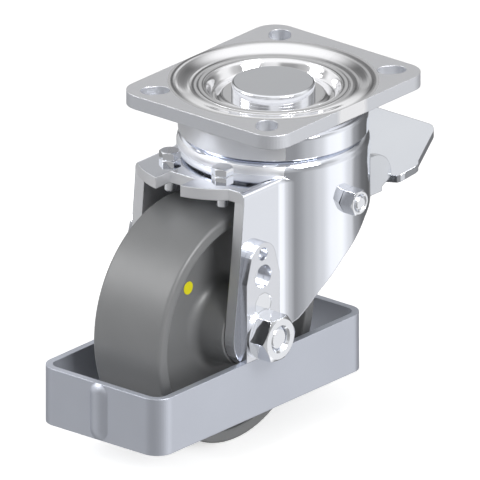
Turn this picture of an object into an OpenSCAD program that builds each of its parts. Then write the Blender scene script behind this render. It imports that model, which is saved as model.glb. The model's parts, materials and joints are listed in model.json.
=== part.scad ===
// Swivel castor with a 100 x 85 mm top plate, a pressed fork, a 100 mm solid wheel,
// a foot operated wheel brake and a foot guard band hung from the axle.
// Millimetres. The origin is on the swivel axis, in the top face of the plate.
// +Z is up, +X points from the swivel axis towards the brake pedal.
// The axle nut is on the -Y side, which is called the near side below.

/* [Top plate] */
// Length of the plate along X
plate_l = 100; // [96:1:120]
// Width of the plate along Y
plate_w = 85; // [82:1:100]
// Thickness of the plate
plate_t = 6; // [5:0.5:7]
// Radius of the plate's corners
plate_corner_r = 10; // [4:0.5:14]
// Distance of a fixing slot's centre from the plate's end
slot_edge_x = 10; // [9:0.5:11]
// Distance of a fixing slot's centre from the plate's long side
slot_edge_y = 12.5; // [11:0.5:13]
// Width of a fixing slot
slot_w = 9; // [7:0.5:10]
// Length of a fixing slot, end to end
slot_l = 12.2; // [11:0.1:12.6]
// Outer radius of the round dish pressed into the plate
dish_r = 43.4; // [42:0.1:43.5]

/* [Swivel head] */
// Radius of the king pin's flat head
pin_head_r = 17.3; // [15:0.1:19]
// Radius of the king pin's shank
pin_r = 10; // [8:0.25:11]
// Outer radius of the upper bearing cup
cup_r = 39.4; // [38.6:0.1:40]
// Depth of the upper cup's lower edge below the plate's top
cup_depth = 20.4; // [19.4:0.1:20.7]
// Diameter of an upper ball
upper_ball_d = 7; // [6:0.25:7]
// Diameter of a lower ball
lower_ball_d = 5; // [4:0.25:5]

/* [Fork] */
// Outer radius of the fork's round crown
crown_r = 40; // [39:0.25:42]
// Thickness of the fork's sheet
sheet = 5; // [4:0.25:5.5]
// Depth of the crown's top face below the plate's top
crown_depth = 21; // [20.8:0.1:22]
// Depth of the front lip's top face below the plate's top
lip_depth = 26.4; // [25.5:0.1:27]
// Distance between the inner faces of the two legs
fork_gap = 48.4; // [46:0.2:49]
// Radius of the legs' round lower end
leg_end_r = 14.7; // [13:0.1:15.5]
// Outer radius of the bend between the lip and a leg
bend_r = 2.9; // [2:0.1:4]
// Radius of the hollow corner between a leg and the crown
hollow_r = 12; // [9:0.5:13]
// Width of the notch in the front lip
notch_w = 13.2; // [8:0.2:14]

/* [Wheel and axle] */
// Distance of the axle ahead of the swivel axis
trail = 45.5; // [43:0.5:47]
// Depth of the wheel's top below the plate's top
tread_depth = 40; // [38:0.5:44]
// Diameter of the wheel
wheel_d = 100; // [90:1:108]
// Width of the wheel's tread
tread_w = 36; // [30:0.5:38]
// Diameter of the axle bolt
axle_d = 10; // [8:0.5:10]
// Width across flats of the axle nut and of the bolt's head
axle_af = 18; // [16:0.5:19]

/* [Foot guard] */
// Length of the guard band along X
guard_l = 133; // [128:1:140]
// Height of the guard band
guard_h = 25; // [18:0.5:30]
// Gap between the guard band and the floor
guard_clear = 15; // [12:0.5:20]
// Thickness of the guard's band
guard_t = 3; // [2:0.25:3.5]
// Thickness of the two hanger straps
strap_t = 3.5; // [3.4:0.1:4.5]
// Half width of a hanger strap
strap_half = 10.5; // [9.5:0.25:11.5]

/* [Brake] */
// Length of the lever from its pivot to the pedal's end
pedal_reach = 80.5; // [76:0.5:86]
// Upward tilt of the pedal when the brake is off, in degrees
pedal_tilt = 17.4; // [10:0.2:20]
// Thickness of the lever's sheet
lever_t = 3; // [2:0.25:3.5]
// Width over the lever's two cheeks
lever_w = 48; // [44:0.5:50]
// Largest width of the pedal
pedal_w = 59.8; // [56:0.2:64]
// Width of the pedal's end
pedal_end_w = 38.8; // [30:0.2:46]
// Diameter of the brake pivot bolt
pivot_d = 6; // [5:0.25:7]

/* [Hidden] */
$fn = 96;

// Radial clearance of a turning fit, and of a bolt in its hole
run_clear = 0.05;
bolt_clear = 0.05;
// Gap left between faces that pass each other
pass_gap = 0.3;
// Overlap of a cutting tool past the face that it cuts
over = 1;

steel = "#c9ced6";
satin_steel = "#b4b6ba";
plastic = "#6f7173";
pale_steel = "#dfe1e5";

// Places of the plate's slots and of the axle
slot_span_x = plate_l - 2 * slot_edge_x;
slot_span_y = plate_w - 2 * slot_edge_y;
height = tread_depth + wheel_d;
axle_z = -(height - wheel_d / 2);
axle_x = -trail;
pin_recess = 0.3;
collar_depth = 5.4;
collar_r = 20.7;
bowl_depth = 6.4;
bowl_sheet = 6;
bowl_r = cup_r - 2.9;
bowl_under = bowl_depth + bowl_sheet;
ring_depth = 2;
ring_in_r = 28.5;
ring_out_r = 31.8;
trough_r = 24.7;

// Ball races
upper_pitch_r = 31;
lower_pitch_r = 16.5;
flange_under = bowl_under + 2.9;
upper_ball_z = -(crown_depth - 2.9);
crown_under = crown_depth + sheet;
lower_ball_z = -(crown_under + pass_gap + lower_ball_d / 2);
lower_cup_under = -lower_ball_z + lower_ball_d / 2 + 2;
lower_cup_r = 24;

// Fork
leg_in = fork_gap / 2;
leg_out = leg_in + sheet;
guard_out = leg_out + strap_t;
leg_top_x = axle_x - 8.1;
leg_knee = [axle_x - 10.6, axle_z + 33];
leg_lean = 7.3;
lip_under = lip_depth + sheet;
notch_y = 3.8;
lip_arc = [-28.4, notch_y];
lip_arc_r = 35.2;
notch_back = -53.2;
window_half = lever_w / 2 + 2;

// Lip screws: metric 5
lip_screw_r = 2.5;
lip_screw_x = leg_top_x + 4.1;
lip_screw_y = 14.1;
lip_screw_af = 8;
lip_head_h = 3.1;
lip_nut_h = 3.6;
lip_head_gap = 0.4;
lip_tip_gap = 2.8;
lip_screw_end = lip_tip_gap - tread_depth;

// Axle group
sleeve_r = axle_d / 2 + 2.5;
bush_r = sleeve_r + 2.5;
bush_l = 15;
hub_half = leg_in - 0.5;
washer_r = 10.6;
washer_t = 1.3;
axle_nut_h = 8.1;
axle_head_h = 6.4;

// Wheel
tread_y = 0.9;
web_half = 9;
tread_round = 1.5;
rim_edge_r = 0.8;
rim_in_r = wheel_d / 2 - 5.4;
rim_fillet_r = 3.2;
hub_r = bush_r + 5.5;
hub_root_r = hub_r + 1.4;
hub_fillet_r = 5;
dot_r = 2.8;
dot_t = 0.5;
dot_sink = 0.3;
dot_at = [axle_x - 19.9, axle_z + 20.4];

// Guard
guard_top = -(height - guard_clear - guard_h);
guard_round = 8;
bead_w = 9.4;
bead_out = 1.75;

// Hanger strap: radius of each hole and its height
nose_r = 8;
strap_top = axle_z + 40.3;
flare_z = axle_z + 24.5;
small_hole = [2.75, axle_z + 35.4];
big_hole = [5, axle_z + 25.5];
pin_hole = [5, axle_z + 12.9];

// Brake
pivot = [0.5, -crown_depth - 21.7];
pivot_sleeve_r = 5;
pivot_boss_r = 8;
pivot_nut_af = 10;
pivot_nut_h = 6.3;
pivot_head_h = 4;
web_z = pivot[1] - 9.9;
web_front = 5;
bend_x = 41;
pad_gap = 2.2;
pad_angle = 38.2;
pad_r = wheel_d / 2 + pad_gap;
pad_tip = [axle_x + pad_r * cos(pad_angle), axle_z + pad_r * sin(pad_angle)];
pad_back = pad_tip + [-1.3, 2.6];
cheek_top = pivot[1] + 4;
window_top = pivot[1] + 9.7;

// Points of a circular arc from angle a0 to angle a1
function arc(cx, cy, r, a0, a1, n = 12) =
  [for (i = [0:n]) let (a = a0 + (a1 - a0) * i / n) [cx + r * cos(a), cy + r * sin(a)]];

// Points of a smooth step from point p to point q, level at both ends
function blend(p, q, n = 12) =
  [for (i = [0:n]) let (t = i / n, s = (1 - cos(180 * t)) / 2)
    [p[0] + (q[0] - p[0]) * t, p[1] + (q[1] - p[1]) * s]];

// Outline of a rectangle centred at x with rounded corners
function round_box(x, l, w, r) = concat(
  arc(x + l / 2 - r, w / 2 - r, r, 0, 90),
  arc(x - l / 2 + r, w / 2 - r, r, 90, 180),
  arc(x - l / 2 + r, -w / 2 + r, r, 180, 270),
  arc(x + l / 2 - r, -w / 2 + r, r, 270, 360));

// Stands its child, drawn in the XZ plane, between two places along Y
module along_y(y0, y1) {
  translate([0, max(y0, y1), 0])
    rotate([90, 0, 0])
      linear_extrude(abs(y1 - y0)) children();
}

// A round bar along Y at a place in the XZ plane
module bar_y(at, r, y0, y1) {
  translate([at[0], max(y0, y1), at[1]])
    rotate([90, 0, 0])
      cylinder(h = abs(y1 - y0), r = r);
}

// A hexagon bolt head or nut blank, its base at z = 0, chamfered at the ends named
module hex_blank(af, h, top = true, base = false) {
  corner_r = af / sqrt(3);
  face_r = af / 2 * 0.96;
  drop = (corner_r - face_r) * tan(30);
  intersection() {
    cylinder(h = h, r = corner_r, $fn = 6);
    rotate_extrude()
      polygon([
        [0, 0], [base ? face_r : corner_r, 0], [corner_r, base ? drop : 0],
        [corner_r, top ? h - drop : h], [top ? face_r : corner_r, h], [0, h]]);
  }
}

// A nut with a chamfered mouth
module nut(af, h, bore_r, base = false) {
  mouth = 0.9;
  difference() {
    hex_blank(af, h, true, base);
    translate([0, 0, -over]) cylinder(h = h + 2 * over, r = bore_r);
    translate([0, 0, h - mouth]) cylinder(h = mouth + 0.01, r1 = bore_r, r2 = bore_r + mouth);
  }
}

// Turns a shape that stands on z = 0 so that it stands on a plane y and points to -Y
module to_near(at, y) {
  translate([at[0], y, at[1]]) rotate([90, 0, 0]) children();
}

// The same, pointing to +Y
module to_far(at, y) {
  translate([at[0], y, at[1]]) rotate([-90, 0, 0]) children();
}

// A round slot through the plate whose long side points at the swivel axis
module fixing_slot(x, y) {
  turn = atan2(y, x);
  reach = (slot_l - slot_w) / 2;
  translate([x, y, -plate_t - over]) rotate([0, 0, turn]) {
    for (s = [-1, 1]) translate([s * reach, 0, 0]) cylinder(h = plate_t + 2 * over, d = slot_w);
    translate([-reach, -slot_w / 2, 0]) cube([2 * reach, slot_w, plate_t + 2 * over]);
  }
}

// The flat plate with its pressed bowl: one piece of sheet
module top_plate() {
  top_line = concat(
    [[0, -collar_depth]],
    blend([collar_r, -collar_depth], [trough_r - 0.4, -bowl_depth]),
    blend([trough_r + 0.4, -bowl_depth], [ring_in_r, -ring_depth]),
    blend([ring_out_r, -ring_depth], [dish_r, 0]));
  under_line = concat(
    [[dish_r, -plate_t]],
    arc(bowl_r + 3, -plate_t - 3, 3, 90, 180),
    arc(bowl_r - 3, -bowl_under + 3, 3, 0, -90),
    [[0, -bowl_under]]);
  color(satin_steel) difference() {
    union() {
      intersection() {
        translate([0, 0, -bowl_under - over])
          linear_extrude(bowl_under + 2 * over)
            polygon(round_box(0, plate_l, plate_w, plate_corner_r));
        rotate_extrude($fn = 144) polygon(concat(top_line, under_line));
      }
      difference() {
        translate([0, 0, -plate_t])
          linear_extrude(plate_t) polygon(round_box(0, plate_l, plate_w, plate_corner_r));
        translate([0, 0, -plate_t - over])
          cylinder(h = plate_t + 2 * over, r = dish_r, $fn = 144);
      }
    }
    for (sx = [-1, 1]) for (sy = [-1, 1])
      fixing_slot(sx * slot_span_x / 2, sy * slot_span_y / 2);
    translate([0, 0, -bowl_under - over])
      cylinder(h = bowl_under + 2 * over, r = pin_r + bolt_clear);
  }
}

// The pin that the fork turns on: a flat head above, riveted over below
module king_pin() {
  edge = 1;
  rivet_r = pin_r + 4;
  rivet_h = 2.6;
  end_z = -lower_cup_under - rivet_h;
  color(pale_steel) rotate_extrude()
    polygon(concat(
      [[0, -pin_recess]],
      arc(pin_head_r - edge, -pin_recess - edge, edge, 90, 0, 6),
      [[pin_head_r, -collar_depth], [pin_r, -collar_depth], [pin_r, -lower_cup_under],
       [rivet_r, -lower_cup_under], [rivet_r, -lower_cup_under - 1], [rivet_r - 1.6, end_z],
       [0, end_z]]));
}

// The upper bearing cup: a race under the bowl with a rim that hides the balls
module upper_cup() {
  rim_in = bowl_r + pass_gap;
  edge = 2.4;
  rim_top = -9.8;
  color(steel) difference() {
    rotate_extrude($fn = 144)
      polygon(concat(
        [[22, -bowl_under], [rim_in, -bowl_under], [rim_in, rim_top]],
        arc(cup_r - edge, rim_top - edge, edge, 90, 0),
        [[cup_r, -cup_depth + 0.4], [cup_r - 0.4, -cup_depth], [rim_in, -cup_depth],
         [rim_in, -flange_under], [22, -flange_under]]));
    race(upper_pitch_r, upper_ball_z, upper_ball_d / 2 + 0.1);
  }
}

// A ring shaped groove for a row of balls
module race(pitch_r, z, r) {
  translate([0, 0, z]) rotate_extrude() translate([pitch_r, 0]) circle(r, $fn = 48);
}

// A row of balls round the swivel axis
module ball_row(pitch_r, z, r, count) {
  for (i = [0:count - 1]) rotate([0, 0, i * 360 / count]) translate([pitch_r, 0, z]) sphere(r, $fn = 32);
}

module upper_balls() {
  color(pale_steel) ball_row(upper_pitch_r, upper_ball_z, upper_ball_d / 2, 24);
}

module lower_balls() {
  color(pale_steel) ball_row(lower_pitch_r, lower_ball_z, lower_ball_d / 2, 18);
}

// The lower bearing cup, held up by the king pin's riveted end
module lower_cup() {
  rim_top = -crown_under - 0.5;
  color(steel) difference() {
    rotate_extrude()
      polygon([
        [0, lower_ball_z], [lower_cup_r - 2, lower_ball_z], [lower_cup_r - 2, rim_top],
        [lower_cup_r, rim_top], [lower_cup_r, -lower_cup_under + 1.5],
        [lower_cup_r - 1.5, -lower_cup_under], [0, -lower_cup_under]]);
    race(lower_pitch_r, lower_ball_z, lower_ball_d / 2 + 0.1);
    translate([0, 0, -lower_cup_under - over])
      cylinder(h = lower_cup_under, r = pin_r + bolt_clear);
  }
}

// Side outline of the fork's skirt and legs, seen along Y
module fork_side() {
  behind_axle = [axle_x + 22.5, axle_z];
  skirt_low = [axle_x + 30.9, axle_z + 11];
  skirt_mid = [axle_x + 42.5, axle_z + 22.4];
  skirt_high = pivot + [13.5, -12.3];
  skirt_end = pivot + [25.5, -7.3];
  polygon(concat(
    [[crown_r + over, -crown_depth + over], [leg_top_x, -crown_depth + over],
     [leg_top_x, -lip_under], leg_knee],
    arc(axle_x, axle_z, leg_end_r, 180 - leg_lean, 320, 18),
    [behind_axle, skirt_low, skirt_mid, skirt_high, skirt_end, [crown_r + over, pivot[1] - 3.3]]));
}

// Front lip of the fork with its notch, seen from above
module lip_plan() {
  difference() {
    intersection() {
      translate(lip_arc) circle(lip_arc_r, $fn = 144);
      translate([-80, -leg_out]) square([50, 2 * leg_out]);
    }
    translate([-90, notch_y - notch_w / 2]) square([90 + notch_back, notch_w]);
  }
}

// Cross section of the lip and the two legs behind it, seen along X
module leg_section(low) {
  bend_z = -lip_depth - bend_r;
  polygon(concat(
    arc(leg_out - bend_r, bend_z, bend_r, 0, 90),
    arc(-leg_out + bend_r, bend_z, bend_r, 90, 180),
    [[-leg_out, low], [leg_out, low]]));
}

// Hollow corner that joins the round crown to a flat leg, on the +Y side
module crown_blend(low) {
  far = crown_r + hollow_r;
  cy = leg_out + hollow_r;
  cx = -sqrt(far * far - cy * cy);
  touch = [cx, cy] * crown_r / far;
  root = leg_out - 3;
  bend_z = -lip_depth - bend_r;
  difference() {
    translate([0, 0, low]) linear_extrude(-low - lip_depth)
      polygon([[cx, root], [cx, cy], touch, [touch[0] + 3, root]]);
    translate([cx, cy, 0]) rotate_extrude()
      polygon(concat(
        [[0, -lip_depth + over], [0, low - over], [hollow_r, low - over]],
        arc(hollow_r + bend_r, bend_z, bend_r, 180, 90),
        [[hollow_r + bend_r, -lip_depth + over]]));
  }
}

// The fork: round crown, skirt, two legs and the front lip, pressed from one sheet
module fork() {
  low = axle_z - leg_end_r - over;
  shoulder = 4.5;
  color(steel) difference() {
    union() {
      intersection() {
        union() {
          rotate_extrude($fn = 144)
            polygon(concat(
              [[0, -crown_depth]],
              arc(crown_r - shoulder, -crown_depth - shoulder, shoulder, 90, 0),
              [[crown_r, low], [0, low]]));
          translate([-80, 0, 0]) rotate([90, 0, 90]) linear_extrude(80) leg_section(low);
          for (s = [0, 1]) mirror([0, s, 0]) crown_blend(low);
        }
        along_y(-crown_r - over, crown_r + over) fork_side();
      }
      intersection() {
        translate([-80, 0, 0]) rotate([90, 0, 90]) linear_extrude(80) leg_section(-lip_under);
        translate([0, 0, -lip_under]) linear_extrude(sheet) lip_plan();
      }
    }
    translate([0, 0, low - over])
      cylinder(h = -low + over - crown_under, r = crown_r - sheet, $fn = 144);
    translate([-80, -leg_in, low - over]) cube([80, 2 * leg_in, -low + over - lip_under]);
    translate([10, -window_half, low]) cube([crown_r, 2 * window_half, -low + window_top]);
    translate([0, 0, -lip_under - over]) cylinder(h = lip_under, r = pin_r + run_clear);
    race(upper_pitch_r, upper_ball_z, upper_ball_d / 2 + pass_gap);
    for (s = [-1, 1]) translate([lip_screw_x, s * lip_screw_y, -lip_under - over])
      cylinder(h = sheet + 2 * over, r = lip_screw_r + bolt_clear);
    bar_y([axle_x, axle_z], axle_d / 2 + bolt_clear, -leg_out - over, leg_out + over);
    bar_y([axle_x, pin_hole[1]], pin_hole[0] + bolt_clear, -leg_out - over, leg_out + over);
    bar_y(pivot, pivot_d / 2 + bolt_clear, -crown_r - over, crown_r + over);
  }
}

// Two screws through the lip, each with a chamfered tip
module lip_screws() {
  head_z = -lip_depth + lip_nut_h + lip_head_gap;
  tip = 0.8;
  color(pale_steel) for (s = [-1, 1]) translate([lip_screw_x, s * lip_screw_y, 0]) {
    translate([0, 0, head_z]) hex_blank(lip_screw_af, lip_head_h);
    rotate_extrude()
      polygon([
        [0, head_z + 0.5], [lip_screw_r, head_z + 0.5], [lip_screw_r, lip_screw_end + tip],
        [lip_screw_r - tip, lip_screw_end], [0, lip_screw_end]]);
  }
}

// The lock nuts under the two screw heads
module lip_lock_nuts() {
  color(pale_steel) for (s = [-1, 1]) translate([lip_screw_x, s * lip_screw_y, -lip_depth])
    nut(lip_screw_af, lip_nut_h, lip_screw_r + bolt_clear);
}

// The axle bolt: head on the far side, chamfered end on the near side
module axle_bolt() {
  seat = guard_out + washer_t;
  end_y = -(seat + axle_nut_h - 0.9);
  tip = 1.1;
  r = axle_d / 2;
  color(pale_steel) {
    to_far([axle_x, axle_z], seat) hex_blank(axle_af, axle_head_h);
    bar_y([axle_x, axle_z], r, end_y + tip, seat + 1);
    to_near([axle_x, axle_z], end_y + tip + 0.01) cylinder(h = tip + 0.01, r1 = r, r2 = r - tip);
  }
}

// A washer under the bolt's head and one under the nut
module axle_washers() {
  color(pale_steel) for (s = [-1, 1]) difference() {
    bar_y([axle_x, axle_z], washer_r, s * guard_out, s * (guard_out + washer_t));
    bar_y([axle_x, axle_z], axle_d / 2 + bolt_clear, -guard_out - 9, guard_out + 9);
  }
}

module axle_nut() {
  color(pale_steel) to_near([axle_x, axle_z], -(guard_out + washer_t))
    nut(axle_af, axle_nut_h, axle_d / 2 + bolt_clear);
}

// The tube round the axle bolt that keeps the legs apart and carries the wheel
module axle_sleeve() {
  color(pale_steel) difference() {
    bar_y([axle_x, axle_z], sleeve_r, -leg_in, leg_in);
    bar_y([axle_x, axle_z], axle_d / 2 + bolt_clear, -leg_in - over, leg_in + over);
  }
}

// Half of the wheel's section, as places along the axle and radii, for a rim face at w
function wheel_half(w) = concat(
  [[hub_half, bush_r], [hub_half, hub_r]],
  arc(web_half + hub_fillet_r, hub_root_r + hub_fillet_r, hub_fillet_r, -90, -180, 6),
  arc(web_half + rim_fillet_r, rim_in_r - rim_fillet_r, rim_fillet_r, 180, 100, 6),
  arc(w - rim_edge_r, rim_in_r + rim_edge_r, rim_edge_r, -80, 0, 4),
  arc(w - tread_round, wheel_d / 2 - tread_round, tread_round, 0, 90, 6));

// The solid wheel: flat tread, dished sides, hub with a fillet at its root
module wheel() {
  near = wheel_half(tread_w / 2 + tread_y);
  far = wheel_half(tread_w / 2 - tread_y);
  n = len(far);
  color(plastic) difference() {
    translate([axle_x, 0, axle_z]) rotate([90, 0, 0])
      rotate_extrude($fn = 180)
        polygon(concat(
          [for (p = near) [p[1], p[0]]],
          [for (i = [n - 1:-1:0]) [far[i][1], -far[i][0]]]));
    bar_y(dot_at, dot_r + bolt_clear, -web_half - over, -web_half + dot_sink);
  }
}

// Two plain bushes pressed into the hub
module wheel_bushes() {
  color("#d8d4c8") for (s = [-1, 1]) difference() {
    bar_y([axle_x, axle_z], bush_r, s * hub_half, s * (hub_half - bush_l));
    bar_y([axle_x, axle_z], sleeve_r + run_clear, -leg_in, leg_in);
  }
}

// The small coloured disc let into the near side of the wheel
module marker_dot() {
  color("#e6c21c") bar_y(dot_at, dot_r, -web_half + dot_sink, -web_half + dot_sink - dot_t);
}

// The guard band, bent round and closed by one upright weld bead at its front
module foot_guard() {
  w = 2 * guard_out;
  front = axle_x - guard_l / 2;
  bead_r = (bead_w * bead_w / 4 + bead_out * bead_out) / (2 * bead_out);
  bead_half = bead_w / 2;
  color(satin_steel) {
    translate([0, 0, guard_top - guard_h]) linear_extrude(guard_h) difference() {
      polygon(round_box(axle_x, guard_l, w, guard_round));
      polygon(round_box(axle_x, guard_l - 2 * guard_t, w - 2 * guard_t, guard_round - guard_t));
    }
    intersection() {
      translate([front + bead_r - bead_out, 0, 0]) {
        translate([0, 0, guard_top - guard_h + bead_half]) cylinder(h = guard_h - bead_w, r = bead_r);
        translate([0, 0, guard_top - bead_half]) sphere(bead_r);
        translate([0, 0, guard_top - guard_h + bead_half]) sphere(bead_r);
      }
      translate([front - bead_out - over, -bead_w, guard_top - guard_h])
        cube([bead_out + over + 0.5, 2 * bead_w, guard_h]);
    }
  }
}

// Outline of a hanger strap in the XZ plane
module strap_side() {
  nose_z = strap_top - nose_r;
  lean = 14;
  polygon(concat(
    [[axle_x + strap_half, guard_top], [axle_x + strap_half, flare_z]],
    arc(axle_x, nose_z, nose_r, lean, 180 - lean, 20),
    [[axle_x - strap_half, flare_z], [axle_x - strap_half, guard_top]]));
}

// A hanger strap on one side: -1 near, 1 far
module guard_strap(side) {
  color(satin_steel) difference() {
    along_y(side * leg_out, side * guard_out) strap_side();
    bar_y([axle_x, axle_z], axle_d / 2 + bolt_clear, -guard_out - over, guard_out + over);
    for (h = [small_hole, big_hole])
      bar_y([axle_x, h[1]], h[0], -guard_out - over, guard_out + over);
    bar_y([axle_x, pin_hole[1]], pin_hole[0] + bolt_clear, -guard_out - over, guard_out + over);
  }
}

module guard_strap_near() {
  guard_strap(-1);
}

module guard_strap_far() {
  guard_strap(1);
}

// A pin through each strap and leg, which stops the guard from turning on the axle
module locating_pins() {
  color(steel) for (s = [-1, 1])
    bar_y([axle_x, pin_hole[1]], pin_hole[0], s * leg_in, s * (guard_out - 0.1));
}

// The bolt that the brake lever turns on, its head on the far side
module brake_pivot_bolt() {
  end_y = -(crown_r + pivot_nut_h + 0.4);
  tip = 0.6;
  r = pivot_d / 2;
  color(pale_steel) {
    to_far(pivot, crown_r) hex_blank(pivot_nut_af, pivot_head_h);
    bar_y(pivot, r, end_y + tip, crown_r + 1);
    to_near(pivot, end_y + tip + 0.01) cylinder(h = tip + 0.01, r1 = r, r2 = r - tip);
  }
}

module brake_pivot_nut() {
  color(pale_steel) to_near(pivot, -crown_r)
    nut(pivot_nut_af, pivot_nut_h, pivot_d / 2 + bolt_clear);
}

// The tube between the fork's two side walls that the lever's cheeks turn on
module brake_pivot_sleeve() {
  half = crown_r - sheet - 0.5;
  color(pale_steel) difference() {
    bar_y(pivot, pivot_sleeve_r, -half, half);
    bar_y(pivot, pivot_d / 2 + bolt_clear, -half - over, half + over);
  }
}

// Height of the pedal's upper face at a place along X
function pedal_z(x) = web_z + (x - bend_x) * tan(pedal_tilt);

// Side outline of the lever's bottom sheet: brake edge, web and tilted pedal
module lever_web_side() {
  end_x = pivot[0] + pedal_reach;
  drop = lever_t / cos(pedal_tilt);
  polygon([
    [web_front, web_z], [bend_x, web_z], [end_x, pedal_z(end_x)], [end_x, pedal_z(end_x) - drop],
    [bend_x, web_z - drop], [web_front, web_z - drop], pad_tip, pad_back]);
}

// Plan outline of the lever's bottom sheet
module lever_plan() {
  end_x = pivot[0] + pedal_reach;
  wide_x = end_x - 23;
  neck_x = end_x - 33;
  wide = pedal_w / 2;
  neck = wide - 2.7;
  end_half = pedal_end_w / 2;
  inner = lever_w / 2 - lever_t;
  round_r = 6;
  polygon(concat(
    [[-20, -inner], [neck_x - 1.5, -inner], [neck_x, -neck + 1], [neck_x + 1, -neck],
     [wide_x - 2, -wide + 0.5], [wide_x, -wide + 0.6], [wide_x + 1.6, -wide + 2]],
    arc(end_x - round_r, -end_half + round_r * 0.65, round_r, -66, 0),
    arc(end_x - round_r, end_half - round_r * 0.65, round_r, 0, 66),
    [[wide_x + 1.6, wide - 2], [wide_x, wide - 0.6], [wide_x - 2, wide - 0.5],
     [neck_x + 1, neck], [neck_x, neck - 1], [neck_x - 1.5, inner], [-20, inner]]));
}

// Side outline of a lever cheek
module lever_cheek_side() {
  r = 10.3;
  back = 46.8;
  union() {
    translate(pivot) circle(pivot_boss_r);
    polygon(concat(
      [[pivot[0], pivot[1] + pivot_boss_r], [28, cheek_top]],
      arc(back - r, cheek_top - r, r, 90, 0),
      [[back, pedal_z(back)], [bend_x, web_z - 1], [bend_x, web_z - lever_t],
       [web_front, web_z - lever_t], pad_tip, pad_back,
       [pivot[0] - pivot_boss_r, pivot[1]]]));
  }
}

// The brake lever: two cheeks, a web whose front edge bites the tread, and the pedal
module brake_lever() {
  outer = lever_w / 2;
  color(pale_steel) difference() {
    union() {
      intersection() {
        along_y(-crown_r, crown_r) lever_web_side();
        translate([0, 0, -80]) linear_extrude(60) lever_plan();
      }
      for (s = [-1, 1]) along_y(s * (outer - lever_t), s * outer) lever_cheek_side();
    }
    bar_y(pivot, pivot_sleeve_r + run_clear, -crown_r, crown_r);
  }
}

top_plate();
king_pin();
upper_cup();
upper_balls();
lower_balls();
lower_cup();
fork();
lip_screws();
lip_lock_nuts();
axle_bolt();
axle_washers();
axle_nut();
axle_sleeve();
foot_guard();
guard_strap_near();
guard_strap_far();
locating_pins();
brake_pivot_bolt();
brake_pivot_nut();
brake_pivot_sleeve();
brake_lever();
wheel();
wheel_bushes();
marker_dot();
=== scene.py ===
# %% [markdown]
# # A plated swivel castor
# A castor is mostly one material, zinc plated steel, seen as many finishes: the rolled face of the
# plate, the drawn and bright fork, the brushed guard band, the hard shine of bolts. What tells
# them apart is how sharply each one mirrors the studio, so the lights matter as much as the shapes.

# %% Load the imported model
import json
import math

import bpy
import numpy as np
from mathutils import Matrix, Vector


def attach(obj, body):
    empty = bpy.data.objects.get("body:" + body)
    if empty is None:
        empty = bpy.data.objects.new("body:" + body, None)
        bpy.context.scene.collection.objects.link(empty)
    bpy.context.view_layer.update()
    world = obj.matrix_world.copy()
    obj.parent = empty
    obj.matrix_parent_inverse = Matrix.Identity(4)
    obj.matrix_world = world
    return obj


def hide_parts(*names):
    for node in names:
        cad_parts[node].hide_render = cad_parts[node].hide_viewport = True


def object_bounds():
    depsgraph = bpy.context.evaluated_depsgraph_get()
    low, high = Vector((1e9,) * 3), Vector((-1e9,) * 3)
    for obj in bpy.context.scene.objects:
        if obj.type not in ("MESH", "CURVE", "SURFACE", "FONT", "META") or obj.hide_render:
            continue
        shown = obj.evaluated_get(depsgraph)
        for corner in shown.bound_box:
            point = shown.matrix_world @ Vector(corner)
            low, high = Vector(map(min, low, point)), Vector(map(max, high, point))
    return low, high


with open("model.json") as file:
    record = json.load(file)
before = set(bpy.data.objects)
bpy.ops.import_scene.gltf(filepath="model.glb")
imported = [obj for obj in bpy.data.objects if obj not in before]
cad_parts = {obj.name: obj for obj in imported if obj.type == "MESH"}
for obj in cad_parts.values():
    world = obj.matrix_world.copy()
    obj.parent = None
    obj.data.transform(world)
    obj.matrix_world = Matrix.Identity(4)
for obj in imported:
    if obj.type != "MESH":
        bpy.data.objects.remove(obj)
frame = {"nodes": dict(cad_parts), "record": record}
cad_box = [list(corner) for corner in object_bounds()]

# %% [markdown]
# ## Camera
# The photograph has no vanishing points: edges that are parallel on the castor stay parallel in
# the picture. An orthographic camera does that. It looks down at 22 degrees, towards the wheel's
# near side and the front of the guard.

# %% Camera
MM = 0.001
VIEW_BACK = np.array([-0.7110, -0.5955, 0.3740])
VIEW_RIGHT = np.array([0.6421, -0.7666, 0.0])
VIEW_CENTRE = np.array([-27.65, -5.26, -60.96]) * MM
VIEW_SPAN = 197.53 * MM
CAMERA_DISTANCE = 1.0
view_back = VIEW_BACK / np.linalg.norm(VIEW_BACK)
view_right = VIEW_RIGHT / np.linalg.norm(VIEW_RIGHT)
view_up = np.cross(view_back, view_right)

camera = bpy.data.objects.new("camera", bpy.data.cameras.new("camera"))
bpy.context.scene.collection.objects.link(camera)
camera.data.type = "ORTHO"
camera.data.ortho_scale = VIEW_SPAN
pose = np.eye(4)
pose[:3, 0], pose[:3, 1], pose[:3, 2] = view_right, view_up, view_back
pose[:3, 3] = VIEW_CENTRE + CAMERA_DISTANCE * view_back
camera.matrix_world = pose.T.tolist()
bpy.context.scene.camera = camera
bpy.context.scene.view_settings.view_transform = "Standard"
print("camera at", np.round(pose[:3, 3], 3))

# %% [markdown]
# ## Helpers for colours and nodes
# Colours are chosen as sRGB hex values, but the renderer adds light in linear numbers, so
# one function turns the first into the second. Every material and the world are node trees; one
# more function adds a node with its settings, its values and the sockets that feed it.

# %% Colour and node helpers
def linear(hex_colour):
    """sRGB hex to linear RGBA: c / 12.92 if dark, else ((c + 0.055) / 1.055) to the power 2.4."""
    c = np.array([int(hex_colour[i:i + 2], 16) for i in (1, 3, 5)]) / 255
    low, high = c / 12.92, ((c + 0.055) / 1.055) ** 2.4
    return (*np.where(c <= 0.04045, low, high).tolist(), 1.0)


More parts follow.
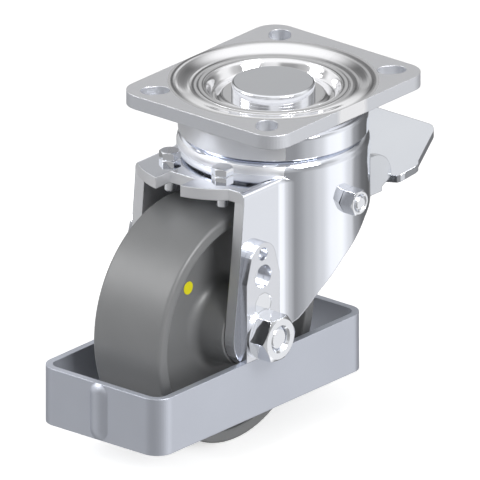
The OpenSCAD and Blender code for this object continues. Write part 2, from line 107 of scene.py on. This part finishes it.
def add(tree, kind, values=None, links=None, **settings):
    """Adds a node to a tree: settings are its properties, values and links go to its inputs."""
    node = tree.nodes.new(kind)
    for name, value in settings.items():
        setattr(node, name, value)
    for socket, value in (values or {}).items():
        node.inputs[socket].default_value = value
    for socket, source in (links or {}).items():
        tree.links.new(source, node.inputs[socket])
    return node


# %% [markdown]
# ## Studio
# Plated steel has no colour of its own to speak of: it shows the room. An upright wall of the
# castor mirrors what lies 22 degrees below the horizon, a flat top what lies 22 degrees above it
# and behind, and every rounded edge sweeps from one to the other. So the studio is written down
# as three rings of walls, each a ramp round the compass, with a white ceiling above them: tall
# soft boxes are the bright stretches, the gaps between them the dark ones.

# %% Walls of the studio
# Each pair is a place round the compass, in turns, and a brightness there. 0.25 lies behind the
# castor, 0.5 at the picture's right, 0.75 on the camera's side and 0 or 1 at the picture's left.
LOW_WALLS = [(0.0, 0.65), (0.028, 0.76), (0.061, 0.36), (0.111, 0.24), (0.161, 0.33),
             (0.20, 0.45), (0.27, 0.34), (0.322, 0.13), (0.383, 0.18), (0.428, 0.36),
             (0.461, 0.84), (0.506, 1.2), (0.544, 1.15), (0.589, 0.78), (0.628, 0.58),
             (0.68, 0.34), (0.761, 0.38), (0.894, 0.45), (0.961, 0.64), (1.0, 0.65)]
EYE_WALLS = [(0.0, 0.5), (0.03, 0.75), (0.06, 1.05), (0.10, 0.9), (0.14, 0.42), (0.18, 0.22),
             (0.215, 0.45), (0.24, 0.95), (0.26, 0.85), (0.285, 0.3), (0.30, 0.13), (0.36, 0.13),
             (0.40, 0.21), (0.44, 0.43), (0.48, 0.88), (0.52, 1.0), (0.56, 0.84), (0.60, 0.52),
             (0.65, 0.42), (0.70, 0.5), (0.75, 0.32), (0.80, 0.17), (0.85, 0.24), (0.90, 0.24),
             (0.95, 0.32), (1.0, 0.5)]
HIGH_WALLS = [(0.0, 0.3), (0.03, 0.5), (0.06, 0.95), (0.14, 1.0), (0.18, 0.5), (0.203, 0.12),
              (0.215, 0.2), (0.221, 0.6), (0.2265, 0.22), (0.2335, 0.1), (0.243, 0.5),
              (0.257, 0.5), (0.263, 0.1), (0.2685, 0.22), (0.2735, 0.9), (0.2785, 0.25),
              (0.297, 0.12), (0.33, 0.45), (0.38, 0.35), (0.42, 0.45), (0.455, 0.95),
              (0.50, 1.0), (0.55, 0.6), (0.60, 0.35), (0.66, 0.35), (0.72, 0.85), (0.76, 0.9),
              (0.80, 0.35), (0.85, 0.35), (0.90, 0.5), (0.95, 0.65), (1.0, 0.3)]
CEILING = 1.1
# Where each ring gives way to the one above it: the heights, as the upward part of a ray's
# direction, at which the upper ring starts and has taken over.
EYE_FROM, EYE_FULL = -0.26, -0.12
HIGH_FROM, HIGH_FULL = 0.12, 0.30
CEILING_FROM, CEILING_FULL = 0.50, 0.72


def wall_ramp(tree, turn, levels):
    """One ring of walls: a colour ramp, smooth from level to level, read at a turn."""
    ramp = add(tree, "ShaderNodeValToRGB", None, {"Fac": turn})
    ramp.color_ramp.interpolation = "EASE"
    for place, _ in levels[:-2]:
        ramp.color_ramp.elements.new(place)
    for element, (place, level) in zip(ramp.color_ramp.elements, levels):
        element.position, element.color = place, (level, level, level, 1)
    return ramp.outputs["Color"]


# %% [markdown]
# ## World
# The world looks up every ray by its compass turn and its height. Only gloss sees the rings of
# walls. The camera sees plain white behind the castor, and matt surfaces get an even soft light,
# a little stronger from above, so that the plastic isn't striped by the soft boxes.

# %% World
FILL_LIGHT_BELOW, FILL_LIGHT_ABOVE = 0.40, 0.50
FILL_FROM, FILL_FULL = -0.2, 1.0
world = bpy.data.worlds.new("studio")
bpy.context.scene.world = world
world.use_nodes = True
sky = world.node_tree
sky.nodes.clear()
way = add(sky, "ShaderNodeTexCoord").outputs["Generated"]
camera_side = np.cross(view_right, [0, 0, 1])
across = add(sky, "ShaderNodeVectorMath", {1: view_right}, {0: way}, operation="DOT_PRODUCT")
towards = add(sky, "ShaderNodeVectorMath", {1: camera_side}, {0: way}, operation="DOT_PRODUCT")
compass = add(sky, "ShaderNodeMath", None,
              {0: towards.outputs["Value"], 1: across.outputs["Value"]}, operation="ARCTAN2")
turn = add(sky, "ShaderNodeMapRange", {"From Min": -math.pi, "From Max": math.pi},
           {"Value": compass.outputs[0]}).outputs["Result"]
height = add(sky, "ShaderNodeSeparateXYZ", None, {0: way}).outputs["Z"]
mirrored = wall_ramp(sky, turn, LOW_WALLS)
for start, end, levels in ((EYE_FROM, EYE_FULL, EYE_WALLS), (HIGH_FROM, HIGH_FULL, HIGH_WALLS),
                           (CEILING_FROM, CEILING_FULL, None)):
    raised = add(sky, "ShaderNodeMapRange", {"From Min": start, "From Max": end},
                 {"Value": height}, interpolation_type="SMOOTHSTEP").outputs["Result"]
    if levels:
        mirrored = add(sky, "ShaderNodeMix", None,
                       {0: raised, 6: mirrored, 7: wall_ramp(sky, turn, levels)},
                       data_type="RGBA").outputs[2]
    else:
        mirrored = add(sky, "ShaderNodeMix", {7: (CEILING, CEILING, CEILING, 1)},
                       {0: raised, 6: mirrored}, data_type="RGBA").outputs[2]
ray = add(sky, "ShaderNodeLightPath").outputs
soft = add(sky, "ShaderNodeMapRange", {"From Min": FILL_FROM, "From Max": FILL_FULL,
                                       "To Min": FILL_LIGHT_BELOW, "To Max": FILL_LIGHT_ABOVE},
           {"Value": height}).outputs["Result"]
glossy = add(sky, "ShaderNodeMix", None,
             {0: ray["Is Glossy Ray"], 6: soft, 7: mirrored}, data_type="RGBA")
straight = add(sky, "ShaderNodeMath", None,
               {0: ray["Is Camera Ray"], 1: ray["Is Transmission Ray"]}, operation="MAXIMUM")
seen = add(sky, "ShaderNodeMix", {7: (1, 1, 1, 1)},
           {0: straight.outputs[0], 6: glossy.outputs[2]}, data_type="RGBA")
light = add(sky, "ShaderNodeBackground", {"Strength": 1.0}, {"Color": seen.outputs[2]})
add(sky, "ShaderNodeOutputWorld", None, {"Surface": light.outputs[0]})
print("studio walls:", len(LOW_WALLS), "+", len(EYE_WALLS), "+", len(HIGH_WALLS), "levels")

# %% [markdown]
# ## Lamps
# The even light alone would leave the wheel flat. Two soft boxes that only matt surfaces see, one
# at the picture's left and one beside the camera, round the tread and open up the wheel's side.
# Two more that only gloss sees put the broad streaks on the wheel and on the satin steel.

# %% Lamps
def soft_box(name, towards_lamp, distance, size, watts, mirrored=False):
    """A square area lamp that stands off along a direction and faces the castor.

    Distance and size are in metres. A mirrored one is seen in gloss only, and lights nothing that
    is matt; the others the reverse.
    """
    lamp = bpy.data.objects.new(name, bpy.data.lights.new(name, "AREA"))
    bpy.context.scene.collection.objects.link(lamp)
    lamp.data.size, lamp.data.energy = size, watts
    back = np.array(towards_lamp) / np.linalg.norm(towards_lamp)
    side = np.cross([0, 0, 1.0], back)
    side /= np.linalg.norm(side)
    place = np.eye(4)
    place[:3, 0], place[:3, 1], place[:3, 2] = side, np.cross(back, side), back
    place[:3, 3] = VIEW_CENTRE + back * distance
    lamp.matrix_world = place.T.tolist()
    lamp.visible_glossy, lamp.visible_diffuse = mirrored, not mirrored


soft_box("key", 0.3 * camera_side - 1.3 * view_right + [0, 0, 0.7],
         distance=0.9, size=0.5, watts=4.5)
soft_box("fill", camera_side + 0.8 * view_right + [0, 0, 0.4],
         distance=1.0, size=0.6, watts=7.0)
soft_box("gloss", 0.7 * camera_side + 0.7 * view_right + [0, 0, 0.9],
         distance=1.0, size=0.45, watts=13.0, mirrored=True)
soft_box("sheen", 0.05 * camera_side - 0.85 * view_right + [0, 0, 0.57],
         distance=1.0, size=0.45, watts=3.5, mirrored=True)
print("lamps:", [lamp.name for lamp in bpy.data.lights])

# %% [markdown]
# ## Floor
# A pale floor lies under the wheel and runs out of the picture on every side. It glows a little to
# the camera so that it reads as white paper, and still shows the castor's soft shadow.

# %% Floor
FLOOR_Z = cad_box[0][2]
FLOOR_HALF = 4.0
FLOOR_GLOW = 0.62
floor_mesh = bpy.data.meshes.new("floor")
floor_mesh.from_pydata([(-FLOOR_HALF, -FLOOR_HALF, FLOOR_Z), (FLOOR_HALF, -FLOOR_HALF, FLOOR_Z),
                        (FLOOR_HALF, FLOOR_HALF, FLOOR_Z), (-FLOOR_HALF, FLOOR_HALF, FLOOR_Z)],
                       [], [(0, 1, 2, 3)])
floor = bpy.data.objects.new("floor", floor_mesh)
bpy.context.scene.collection.objects.link(floor)
floor.visible_glossy = False
paper = bpy.data.materials.new("white paper")
paper.use_nodes = True
tree = paper.node_tree
tree.nodes.clear()
matt = add(tree, "ShaderNodeBsdfDiffuse", {"Color": linear("#d8d8d8")})
seen_directly = add(tree, "ShaderNodeLightPath").outputs["Is Camera Ray"]
glow_level = add(tree, "ShaderNodeMath", {1: FLOOR_GLOW}, {0: seen_directly},
                 operation="MULTIPLY")
glow = add(tree, "ShaderNodeEmission", {"Color": (1, 1, 1, 1)}, {"Strength": glow_level.outputs[0]})
both = add(tree, "ShaderNodeAddShader", None, {0: matt.outputs[0], 1: glow.outputs[0]})
add(tree, "ShaderNodeOutputMaterial", None, {"Surface": both.outputs[0]})
floor_mesh.materials.append(paper)
print("floor at", round(FLOOR_Z / MM, 2), "mm")

# %% [markdown]
# ## Plated steel
# Zinc plating copies the sheet under it. On a rolled and pressed part that sheet has a very fine
# grain and soft clouds where the bath left the coat thicker. How wide the grain scatters is the
# roughness, and that alone tells a bright pressed fork from a satin band. Rolling marks are far
# below a pixel, so they are drawn a few tenths of a millimetre wide and very shallow.

# %% Plated steel
# How wide the bath's clouds are, how far the grain changes the roughness, how fast bright metal
# turns satin, and how far a normal may point up on a face that still counts as upright.
CLOUD_MM = 25
GRAIN_SPREAD = 0.1
BRIGHT_FADE_MM = 0.3
UPRIGHT_WITHIN = 0.6
# The polish that a press tool leaves, and the torn metal of a sheared edge.
BRIGHT_ROUGHNESS = 0.08
BRIGHT_COLOUR = "#f3f3f5"
SHEARED_ROUGHNESS = 0.55


def plated_steel(name, colour, cloud_colour, roughness, grain_mm, grain_depth, edge_mm,
                 bright_within_mm=None, cut_edges_and_shade=None):
    """Metal whose colour drifts between two tones, with grain as roughness and as a low bump.

    The grain is grain_mm wide and grain_depth mm deep, and edges catch light over edge_mm.
    Where bright_within_mm is given, the metal inside that radius of the swivel axis is drawn as
    smooth as a mirror, as a press tool leaves it. Where the sheared edges are given, as a middle x,
    a reach in x, a reach in y, all in mm, and a colour, upright faces in that block are the sheet's
    sheared edges: they are dull, and take that colour, which is painted shade on them.
    """
    made = bpy.data.materials.new(name)
    made.use_nodes = True
    nt = made.node_tree
    nt.nodes.clear()
    place = add(nt, "ShaderNodeTexCoord").outputs["Object"]
    grain = add(nt, "ShaderNodeTexNoise", {"Scale": 1 / (grain_mm * MM), "Detail": 2.0},
                {"Vector": place}).outputs["Fac"]
    clouds = add(nt, "ShaderNodeTexNoise", {"Scale": 1 / (CLOUD_MM * MM), "Detail": 2.0},
                 {"Vector": place})
    tone = add(nt, "ShaderNodeMix", {6: linear(colour), 7: linear(cloud_colour)},
               {0: clouds.outputs["Fac"]}, data_type="RGBA")
    rough = add(nt, "ShaderNodeMapRange", {"To Min": roughness * (1 - GRAIN_SPREAD),
                                           "To Max": roughness * (1 + GRAIN_SPREAD)},
                {"Value": grain}).outputs[0]
    rise = grain
    if bright_within_mm:
        flat = add(nt, "ShaderNodeVectorMath", {1: (1, 1, 0)}, {0: place}, operation="MULTIPLY")
        reach = add(nt, "ShaderNodeVectorMath", None, {0: flat.outputs[0]}, operation="LENGTH")
        satin = add(nt, "ShaderNodeMapRange",
                    {"From Min": (bright_within_mm - BRIGHT_FADE_MM) * MM,
                     "From Max": (bright_within_mm + BRIGHT_FADE_MM) * MM},
                    {"Value": reach.outputs["Value"]}).outputs[0]
        rough = add(nt, "ShaderNodeMix", {2: BRIGHT_ROUGHNESS}, {0: satin, 3: rough}).outputs[0]
        rise = add(nt, "ShaderNodeMath", None, {0: grain, 1: satin},
                   operation="MULTIPLY").outputs[0]
        tone = add(nt, "ShaderNodeMix", {6: linear(BRIGHT_COLOUR)},
                   {0: satin, 7: tone.outputs[2]}, data_type="RGBA")
    # The sheared edges are dull, and their darker colour is painted shade on the upright faces.
    if cut_edges_and_shade:
        middle, reach_x, reach_y, edge_shade_colour = cut_edges_and_shade
        spot = add(nt, "ShaderNodeSeparateXYZ", None, {0: place}).outputs
        facing = add(nt, "ShaderNodeTexCoord").outputs["Normal"]
        lean = add(nt, "ShaderNodeSeparateXYZ", None, {0: facing}).outputs["Z"]
        ahead = add(nt, "ShaderNodeMath", {1: middle * MM, 2: reach_x * MM}, {0: spot["X"]},
                    operation="COMPARE")
        within = add(nt, "ShaderNodeMath", {1: 0.0, 2: reach_y * MM}, {0: spot["Y"]},
                     operation="COMPARE")
        steep = add(nt, "ShaderNodeMath", {1: 0.0, 2: UPRIGHT_WITHIN}, {0: lean},
                    operation="COMPARE")
        both = add(nt, "ShaderNodeMath", None, {0: ahead.outputs[0], 1: within.outputs[0]},
                   operation="MULTIPLY")
        sheared = add(nt, "ShaderNodeMath", None, {0: both.outputs[0], 1: steep.outputs[0]},
                      operation="MULTIPLY").outputs[0]
        if bright_within_mm:
            sheared = add(nt, "ShaderNodeMath", None, {0: sheared, 1: satin},
                          operation="MULTIPLY").outputs[0]
        rough = add(nt, "ShaderNodeMix", {3: SHEARED_ROUGHNESS},
                    {0: sheared, 2: rough}).outputs[0]
        # Painted shade: the sheared edge faces take the darker edge colour.
        tone = add(nt, "ShaderNodeMix", {7: linear(edge_shade_colour)},
                   {0: sheared, 6: tone.outputs[2]}, data_type="RGBA")
    worn = add(nt, "ShaderNodeBevel", {"Radius": edge_mm * MM}, samples=4)
    bump = add(nt, "ShaderNodeBump", {"Strength": 1.0, "Distance": grain_depth * MM},
               {"Height": rise, "Normal": worn.outputs[0]})
    skin = add(nt, "ShaderNodeBsdfPrincipled", {"Metallic": 1.0},
               {"Base Color": tone.outputs[2], "Roughness": rough, "Normal": bump.outputs[0]})
    add(nt, "ShaderNodeOutputMaterial", None, {"Surface": skin.outputs[0]})
    return made


# %% [markdown]
# ## The steel finishes
# The same zinc lies on all of them, so their colours are nearly one. What differs is the sheet
# below: a drawn fork comes out of its tool almost polished, a rolled plate stays satin outside
# the dish that the tool has ironed, a band is brushed along, and a sheared edge is torn and dull.
# The sheared edges are also given a darker colour, which is painted shade.

# %% Steel finishes
# Radius of the dish's rim, within which the plate is bright.
DISH_EDGE_MM = 43.4
# Middle x, reach in x, reach in y and colour of the blocks with sheared edges: the front edges of
# the fork's legs, all round the plate, and round the pedal. Each colour is painted shade that
# darkens those edge faces.
FORK_EDGES_AND_SHADE = (-75.5, 50.0, 28.9, "#e2e3e6")
PLATE_EDGES_AND_SHADE = (0.0, 60.0, 60.0, "#d2d4d9")
PEDAL_EDGES_AND_SHADE = (75.0, 24.0, 60.0, "#989a9e")
finishes = {
    # Zinc plated rolled steel: a pale satin face round a dish as bright as the fork.
    "plate_steel": plated_steel("rolled and plated steel", "#f6f7fa", "#f0f1f5", 0.30, 0.5,
                                0.0006, 0.5, bright_within_mm=DISH_EDGE_MM,
                                cut_edges_and_shade=PLATE_EDGES_AND_SHADE),
    # Zinc plated deep drawn steel: nearly a mirror, in which the room's dark walls stand sharp.
    "fork_steel": plated_steel("drawn and plated steel", "#ebeef5", "#e5e8f0", 0.09, 0.8,
                               0.0002, 0.6, cut_edges_and_shade=FORK_EDGES_AND_SHADE),
    # Zinc plated turned and cold headed steel: small hard glints on bolts, nuts and the pin.
    "bright_steel": plated_steel("bright plated steel", "#f1f3f7", "#ebedf2", 0.09, 0.5,
                                 0.0002, 0.25),
    # Hardened and ground bearing steel: a darker grey, evenly dulled by the grinding.
    "race_steel": plated_steel("ground steel", "#c8cace", "#bcbec2", 0.20, 0.3, 0.001, 0.2),
    # Zinc plated brushed steel: the walls of the room melt into one soft blue grey.
    "guard_steel": plated_steel("brushed steel", "#ced2dc", "#c7cbd5", 0.48, 0.4, 0.0006, 0.5),
    # Zinc plated pressed steel: brighter than the band it holds, duller than the fork behind it.
    "strap_steel": plated_steel("pressed and plated steel", "#e4e6ec", "#dee0e6", 0.24, 0.4,
                                0.0004, 0.4),
    # Zinc plated blanked steel: a satin pedal with a dull sheared rim, whose dark colour is painted
    # shade.
    "pedal_steel": plated_steel("satin plated steel", "#dbdee3", "#d3d6dc", 0.24, 0.4,
                                0.0005, 0.4, cut_edges_and_shade=PEDAL_EDGES_AND_SHADE),
}
print("steel finishes:", len(finishes))

# %% [markdown]
# ## Plastics
# The wheel is one moulding of grey polyamide, the bushes are natural acetal and the dot is yellow
# polyamide. Moulded plastic takes the fine grain of its tool, so it is neither matt nor wet
# looking: it shows soft streaks, and its colour clouds a little where the melt flowed.

# %% Plastics
MELT_CLOUD_MM = 12
MOULD_GRAIN_DEPTH_MM = 0.05
MOULD_GRAIN_STRENGTH = 0.1


def moulded_plastic(name, colour, dark_colour, roughness, grain_mm, edge_mm):
    """Moulded plastic: two close tones in soft clouds, a fine dull grain and soft edges."""
    made = bpy.data.materials.new(name)
    made.use_nodes = True
    nt = made.node_tree
    nt.nodes.clear()
    place = add(nt, "ShaderNodeTexCoord").outputs["Object"]
    grain = add(nt, "ShaderNodeTexNoise", {"Scale": 1 / (grain_mm * MM), "Detail": 4.0},
                {"Vector": place})
    clouds = add(nt, "ShaderNodeTexNoise", {"Scale": 1 / (MELT_CLOUD_MM * MM), "Detail": 2.0},
                 {"Vector": place})
    tone = add(nt, "ShaderNodeMix", {6: linear(colour), 7: linear(dark_colour)},
               {0: clouds.outputs["Fac"]}, data_type="RGBA")
    worn = add(nt, "ShaderNodeBevel", {"Radius": edge_mm * MM}, samples=4)
    bump = add(nt, "ShaderNodeBump", {"Strength": MOULD_GRAIN_STRENGTH,
                                      "Distance": MOULD_GRAIN_DEPTH_MM * MM},
               {"Height": grain.outputs["Fac"], "Normal": worn.outputs[0]})
    skin = add(nt, "ShaderNodeBsdfPrincipled", {"Roughness": roughness},
               {"Base Color": tone.outputs[2], "Normal": bump.outputs[0]})
    add(nt, "ShaderNodeOutputMaterial", None, {"Surface": skin.outputs[0]})
    return made


# Polyamide, moulded: a mid grey with soft, broad streaks of light.
finishes["wheel_plastic"] = moulded_plastic("grey polyamide", "#747576", "#6e6f70", 0.40, 0.6, 0.5)
# Acetal, moulded: milky and dull.
finishes["bush_plastic"] = moulded_plastic("natural acetal", "#d8d4c8", "#cfcabc", 0.5, 0.5, 0.3)
# Polyamide, moulded: the one strong colour on the castor, without a highlight.
finishes["marker_yellow"] = moulded_plastic("yellow polyamide", "#dcd41a", "#d2ca16", 0.5, 0.5,
                                            0.2)
print("finishes in all:", len(finishes))

# %% [markdown]
# ## Dressing the solids
# Each solid takes the finish of its slot in the record. The two hanger straps are cut from
# brighter sheet than the band they hold, so they get their own. The two small screws on the lip
# are left out of mirror images, because the photograph's steel shows the room and not its
# neighbours.

# %% Dress the nodes
OWN_FINISH = {"guard_strap_near": "strap_steel", "guard_strap_far": "strap_steel"}
UNMIRRORED = ["lip_screws", "lip_lock_nuts"]
slot_of = {part["node"]: part["material_slot"] for part in frame["record"]["subparts"]}
for name, node in frame["nodes"].items():
    for place in node.material_slots:
        place.material = finishes[OWN_FINISH.get(name, slot_of[name])]
for name in UNMIRRORED:
    frame["nodes"][name].visible_glossy = False
print("dressed:", len(slot_of))

# %% [markdown]
# ## The wheel
# A wheel is turned or moulded round one axis, so its whole surface is one closed section carried
# round a circle. The section is a list of corners and arcs; sampled finely and evenly it shades
# smoothly on the tread and the dished sides, and its small rounds catch a thin line of light. It
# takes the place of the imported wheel, whose facets would show in the broad streaks.

# %% Turned shapes
ARC_POINTS = 9


def arc(centre, radius, start, end):
    """Points on a circle's arc: centre + radius (cos a, sin a), a from start to end in degrees."""
    a = np.radians(np.linspace(start, end, ARC_POINTS))[:, None]
    return np.array(centre) + radius * np.hstack([np.cos(a), np.sin(a)])


def even_outline(parts, step):
    """A closed outline through the parts' points, filled up so that none is over a step apart.

    A side from a corner p to the next one q gets the points p + (k / n) (q - p), k from 0 to
    n - 1, where n is the side's length over the step, rounded up.
    """
    corners = np.vstack(parts)
    ahead = np.roll(corners, -1, axis=0)
    counts = np.ceil(np.linalg.norm(ahead - corners, axis=1) / step)
    counts = np.maximum(1, counts).astype(int)
    start, end = np.repeat(corners, counts, axis=0), np.repeat(ahead, counts, axis=0)
    passed = np.arange(counts.sum()) - np.repeat(np.cumsum(counts) - counts, counts)
    gone = passed / np.repeat(counts, counts)
    return start + gone[:, None] * (end - start)


def turned(name, outline, centre, axis, count):
    """Carries an outline of (place along the axis, radius) once round the axis, "Y" or "Z".

    The point at an angle t is centre + radius (cos t, sin t), in x and z for Y, in x and y for Z.
    """
    t = np.linspace(0, 2 * np.pi, count, endpoint=False)[:, None]
    along, radius = outline[:, 0], outline[:, 1]
    out_x, out_side = centre[0] + radius * np.cos(t), centre[1] + radius * np.sin(t)
    level = along + 0 * t
    order = [out_x, level, out_side] if axis == "Y" else [out_x, out_side, level]
    points = np.stack(order, axis=-1).reshape(-1, 3)
    i, j = np.meshgrid(np.arange(count), np.arange(len(outline)), indexing="ij")
    near, far = i * len(outline), ((i + 1) % count) * len(outline)
    up = (j + 1) % len(outline)
    quads = np.stack([near + j, near + up, far + up, far + j], axis=-1).reshape(-1, 4)
    mesh = bpy.data.meshes.new(name)
    mesh.from_pydata((points * MM).tolist(), [], quads.tolist())
    mesh.shade_smooth()
    piece = bpy.data.objects.new(name, mesh)
    bpy.context.scene.collection.objects.link(piece)
    return piece


# %% Wheel
# All in mm: the axle's x and z, radii from the axle, and y from the castor's middle plane.
AXLE = (-45.5, -90.0)
WHEEL_R, WEB_Y, HUB_Y, BORE_R = 50.0, 9.0, 23.7, 10.0
NEAR_FACE_Y, FAR_FACE_Y = 18.9, 17.1
TREAD_ROUND, RIM_ROUND, RIM_IN_R, RIM_FILLET = 1.5, 0.8, 44.6, 3.2
HUB_R, HUB_ROUND, HUB_ROOT_R, HUB_FILLET = 15.5, 0.6, 16.9, 5.0
SECTION_STEP, STEPS_ROUND = 1.4, 240


def wheel_side(face_y):
    """Half of the wheel's section, from the bore over hub, web and rim to the tread, y over 0."""
    return np.vstack([
        [[HUB_Y, BORE_R], [HUB_Y, HUB_R - HUB_ROUND]],
        arc((HUB_Y - HUB_ROUND, HUB_R - HUB_ROUND), HUB_ROUND, 0, 90),
        arc((WEB_Y + HUB_FILLET, HUB_ROOT_R + HUB_FILLET), HUB_FILLET, -90, -180),
        arc((WEB_Y + RIM_FILLET, RIM_IN_R - RIM_FILLET), RIM_FILLET, 180, 100),
        arc((face_y - RIM_ROUND, RIM_IN_R + RIM_ROUND), RIM_ROUND, -80, 0),
        arc((face_y - TREAD_ROUND, WHEEL_R - TREAD_ROUND), TREAD_ROUND, 0, 90)])


near_side, far_side = wheel_side(NEAR_FACE_Y) * [-1, 1], wheel_side(FAR_FACE_Y)[::-1]
section = even_outline([near_side, far_side], SECTION_STEP)
wheel = turned("wheel_turned", section, AXLE, "Y", STEPS_ROUND)
wheel.data.materials.append(finishes["wheel_plastic"])
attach(wheel, "road_wheel")
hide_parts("wheel")
print("wheel:", len(section), "points round the section,", len(wheel.data.polygons), "faces")

# %% [markdown]
# ## The bead in the plate's dish
# Between the dish's outer slope and its trough the sheet runs level for three millimetres. A press
# never leaves such a ring quite flat: it springs back a little round, and so it mirrors a sweep of
# the room instead of one flat tone. Its crown is a parabola, and its foot is sunk in the sheet.

# %% Dish bead
# All in mm, radii from the swivel axis and heights from the plate's top face.
BEAD_IN_R, BEAD_OUT_R, BEAD_FOOT_Z, BEAD_RISE, BEAD_SUNK = 28.5, 31.8, -2.0, 0.17, 0.4
CROWN_POINTS = 17
u = np.linspace(-1, 1, CROWN_POINTS)
middle_r, half_width = (BEAD_OUT_R + BEAD_IN_R) / 2, (BEAD_OUT_R - BEAD_IN_R) / 2
crown = np.column_stack([BEAD_FOOT_Z + BEAD_RISE * (1 - u ** 2), middle_r + half_width * u])
foot = [[BEAD_FOOT_Z - BEAD_SUNK, BEAD_OUT_R], [BEAD_FOOT_Z - BEAD_SUNK, BEAD_IN_R]]
bead = turned("dish_bead", np.vstack([crown, foot]), (0.0, 0.0), "Z", STEPS_ROUND)
bead.data.materials.append(finishes["plate_steel"])
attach(bead, "mount_head")
print("bead:", len(bead.data.polygons), "faces")
